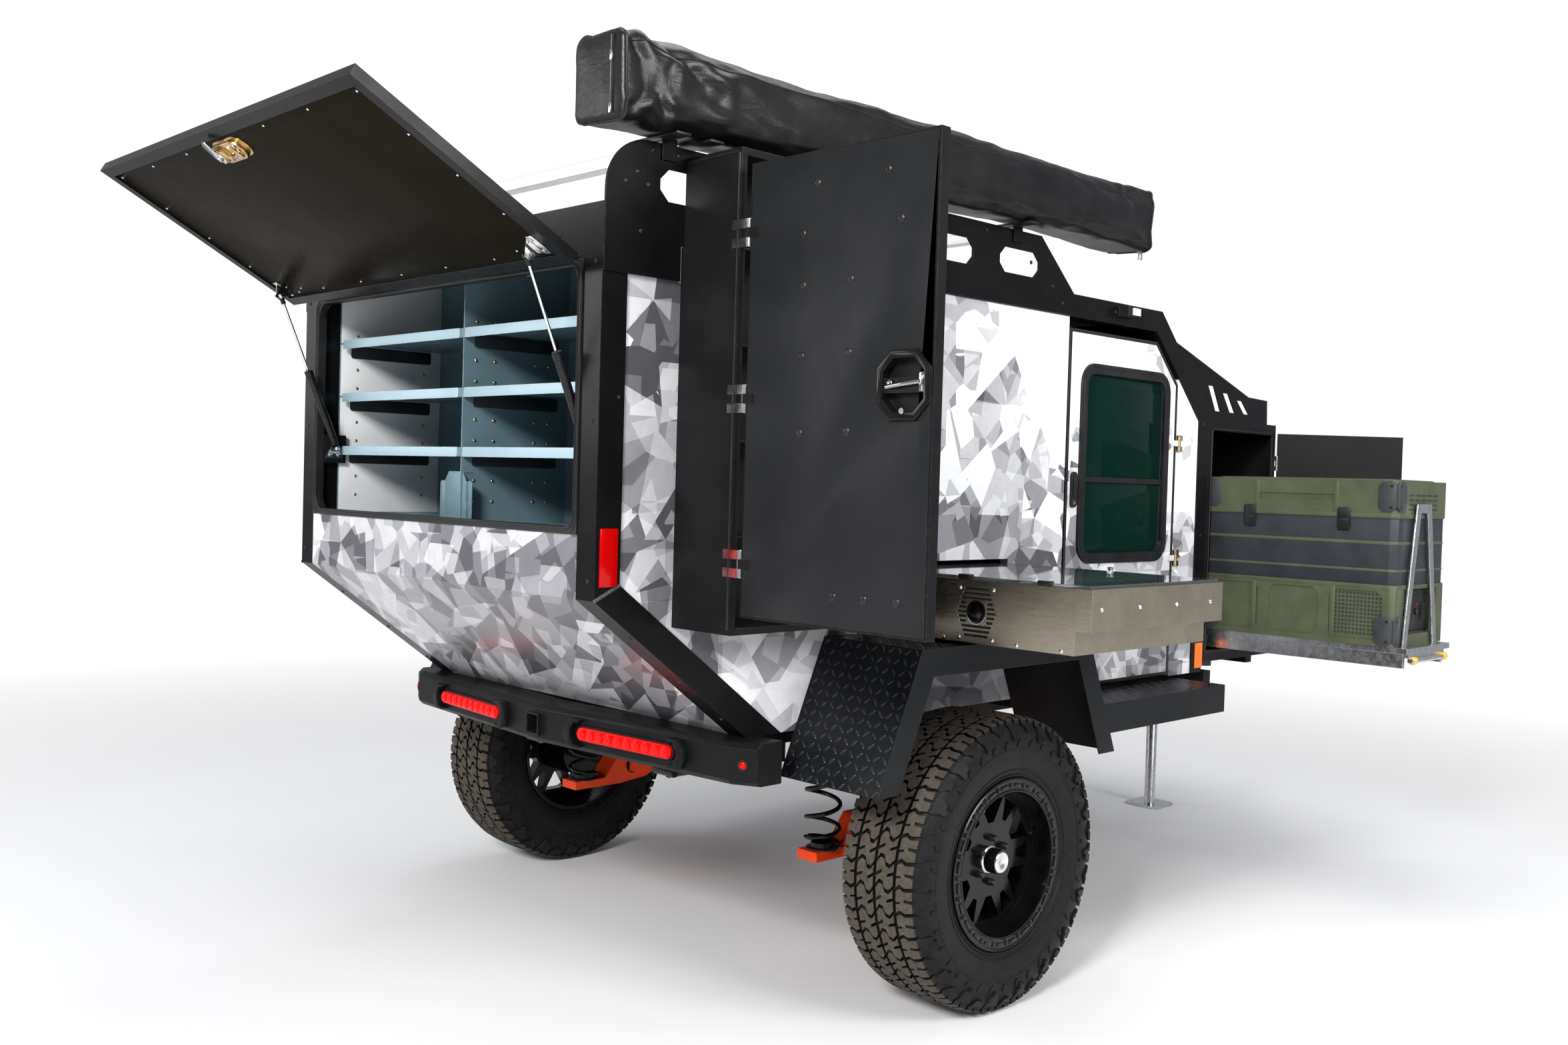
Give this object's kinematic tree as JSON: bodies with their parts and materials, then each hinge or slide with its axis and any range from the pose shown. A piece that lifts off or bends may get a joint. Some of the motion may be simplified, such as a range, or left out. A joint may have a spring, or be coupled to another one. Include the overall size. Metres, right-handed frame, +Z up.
{
  "type": "squaredrop off-road camping trailer",
  "caption": "Off-road teardrop camping trailer with raised rear hatch over shelves, side pantry, slide-out kitchen, slide-out fridge, roof rack and awning bag.",
  "frame": {"origin": "mouth of the ball coupler's socket, on its axis", "axes": "+X to the kerb side, +Y forward in the direction of travel, +Z up"},
  "size_m": [2.762, 4.8699, 2.487],
  "materials": {
    "black_paint": "satin black powder coat",
    "facet_print": "grey and white facet print, satin",
    "white_panel": "white satin panel",
    "rubber": "matt",
    "blue_grey": "blue-grey powder coat",
    "aluminium": "mill finish",
    "vinyl": "coated cloth, semi-gloss",
    "tread_plate": "black diamond plate",
    "tyre": "matt",
    "alloy_black": "satin black alloy",
    "orange_paint": "gloss orange-red",
    "dark_steel": "dark steel",
    "zinc": "bright zinc",
    "stainless": "brushed stainless",
    "brass": "brass",
    "dark_glass": "dark green privacy glass",
    "clear_glass": "tempered glass",
    "red_lens": "clear red lens",
    "amber_lens": "clear amber lens",
    "lamp_white": "lamp lens",
    "green_plastic": "olive green moulding"
  },
  "bodies": {
    "trailer": {"amber_lamps": "amber_lens", "awning_bag": "vinyl", "awning_brackets": "black_paint", "body_frame": "black_paint", "chassis_brackets": "black_paint", "chassis_frame": "black_paint", "coil_springs": "dark_steel", "coupler": "dark_steel", "fenders": "tread_plate", "fixed_hinges": "brass", "flood_lamps": "lamp_white", "floor_panel": "black_paint", "front_slope_panel": "black_paint", "front_wall": "black_paint", "galley_unit": "blue_grey", "hatch_seal": "rubber", "jack_tube": "black_paint", "nose_box": "black_paint", "nose_gussets": "black_paint", "pantry_cabinet": "black_paint", "rack_bars": "aluminium", "rack_plates": "black_paint", "rear_bumper": "black_paint", "rear_panels": "facet_print", "red_lamps": "red_lens", "roof_panel": "white_panel", "safety_chains": "zinc", "shocks": "dark_steel", "side_panels": "facet_print", "slide_rails": "zinc", "steps": "tread_plate", "stub_axles": "dark_steel", "trailing_arms": "orange_paint"},
    "wheel_right": {"tyre_right": "tyre", "rim_right": "alloy_black"},
    "wheel_left": {"tyre_left": "tyre", "rim_left": "alloy_black"},
    "hatch": {"hatch": "black_paint"},
    "strut_cylinder_right": {"strut_cylinder_right": "dark_steel"},
    "strut_rod_right": {"strut_rod_right": "zinc"},
    "strut_cylinder_left": {"strut_cylinder_left": "dark_steel"},
    "strut_rod_left": {"strut_rod_left": "zinc"},
    "pantry_door": {"pantry_door": "black_paint"},
    "entry_door_right": {"entry_door_right": "facet_print", "entry_window_right": "dark_glass"},
    "entry_door_left": {"entry_door_left": "facet_print", "entry_window_left": "dark_glass"},
    "nose_door_right": {"nose_door_right": "black_paint"},
    "nose_door_left": {"nose_door_left": "black_paint"},
    "kitchen": {"kitchen_tray": "stainless", "kitchen_lid": "clear_glass"},
    "fridge_slide": {"fridge": "green_plastic", "fridge_tray": "zinc"},
    "jack_leg": {"jack_leg": "zinc"},
    "stabiliser_right": {"stabiliser_right": "dark_steel"},
    "stabiliser_left": {"stabiliser_left": "dark_steel"}
  },
  "joints": [
    {"name": "wheel_right_spin", "type": "hinge", "parent": "trailer", "child": "wheel_right", "pos_m": [1.016, -3.05, -0.207], "axis": [1, 0, 0], "continuous": true},
    {"name": "wheel_left_spin", "type": "hinge", "parent": "trailer", "child": "wheel_left", "pos_m": [-1.016, -3.05, -0.207], "axis": [1, 0, 0], "continuous": true},
    {"name": "hatch_lift", "type": "hinge", "parent": "trailer", "child": "hatch", "pos_m": [0, -4.25, 1.361], "axis": [-1, 0, 0], "range_deg": [-119, 0]},
    {"name": "pantry_door_swing", "type": "hinge", "parent": "trailer", "child": "pantry_door", "pos_m": [1.014, -3.965, 1.04], "axis": [0, 0, -1], "range_deg": [-90, 0]},
    {"name": "entry_door_right_swing", "type": "hinge", "parent": "trailer", "child": "entry_door_right", "pos_m": [0.781, -1.617, 0.78], "axis": [0, 0, 1], "range_deg": [0, 90]},
    {"name": "entry_door_left_swing", "type": "hinge", "parent": "trailer", "child": "entry_door_left", "pos_m": [-0.781, -1.617, 0.78], "axis": [0, 0, -1], "range_deg": [0, 90]},
    {"name": "nose_door_left_swing", "type": "hinge", "parent": "trailer", "child": "nose_door_left", "pos_m": [-0.78, -0.86, 0.68], "axis": [0, 0, -1], "range_deg": [0, 135]},
    {"name": "kitchen_slide", "type": "slide", "parent": "trailer", "child": "kitchen", "axis": [1, 0, 0], "range_m": [-0.73, 0]},
    {"name": "fridge_slide", "type": "slide", "parent": "trailer", "child": "fridge_slide", "axis": [1, 0, 0], "range_m": [-1.2, 0]},
    {"name": "nose_door_right_swing", "type": "hinge", "parent": "trailer", "child": "nose_door_right", "pos_m": [0.78, -0.86, 0.68], "axis": [0, 0, 1], "range_deg": [-135.5, 0.5]},
    {"name": "jack_lift", "type": "slide", "parent": "trailer", "child": "jack_leg", "axis": [0, 0, -1], "range_m": [-0.3, 0]},
    {"name": "strut_turn_right", "type": "hinge", "parent": "trailer", "child": "strut_cylinder_right", "pos_m": [0.66, -4.16, 0.9], "axis": [1, 0, 0], "range_deg": [-17.7, 0.5]},
    {"name": "strut_slide_right", "type": "slide", "parent": "strut_cylinder_right", "child": "strut_rod_right", "axis": [0, -0.3819, 0.9242], "range_m": [-0.207, 0.001]},
    {"name": "stabiliser_right_swing", "type": "hinge", "parent": "trailer", "child": "stabiliser_right", "pos_m": [0.33, -3.2, -0.01], "axis": [1, 0, 0], "range_deg": [0, 60]},
    {"name": "strut_turn_left", "type": "hinge", "parent": "trailer", "child": "strut_cylinder_left", "pos_m": [-0.66, -4.16, 0.9], "axis": [1, 0, 0], "range_deg": [-17.7, 0.5]},
    {"name": "strut_slide_left", "type": "slide", "parent": "strut_cylinder_left", "child": "strut_rod_left", "axis": [0, -0.3819, 0.9242], "range_m": [-0.207, 0.001]},
    {"name": "stabiliser_left_swing", "type": "hinge", "parent": "trailer", "child": "stabiliser_left", "pos_m": [-0.33, -3.2, -0.01], "axis": [1, 0, 0], "range_deg": [0, 60]}
  ],
  "couplings": [
    {"joint": "nose_door_right_swing", "follows": "fridge_slide", "rad_per_m": 1.9635},
    {"joint": "strut_turn_right", "follows": "hatch_lift", "ratio": 0.14455},
    {"joint": "strut_slide_right", "follows": "hatch_lift", "m_per_rad": 0.099184},
    {"joint": "strut_turn_left", "follows": "hatch_lift", "ratio": 0.14455},
    {"joint": "strut_slide_left", "follows": "hatch_lift", "m_per_rad": 0.099184}
  ]
}
